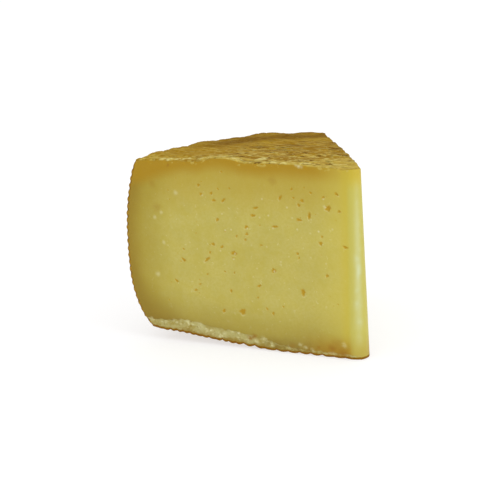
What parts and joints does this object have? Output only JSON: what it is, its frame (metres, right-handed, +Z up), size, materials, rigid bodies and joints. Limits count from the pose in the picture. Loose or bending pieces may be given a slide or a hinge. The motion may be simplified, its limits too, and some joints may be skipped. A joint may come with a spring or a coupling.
{
  "type": "pecorino wedge",
  "caption": "Wedge of hard sheep's-milk cheese, one sixth of a basket-marked wheel: two flat knife cuts, rounded tip edge, woven rind on the curved side, mat-marked top.",
  "frame": {"origin": "on the flat underside, at the middle of the wedge's footprint", "axes": "+Z up from the underside to the top rind, -Y out of the front knife cut, -X towards the rind side, +X towards the tip edge"},
  "size_m": [0.1096, 0.0966, 0.0831],
  "materials": {
    "pecorino": "satin cut paste, matte brown rind"
  },
  "bodies": {
    "root": {"pecorino_wedge": "pecorino"}
  },
  "joints": []
}
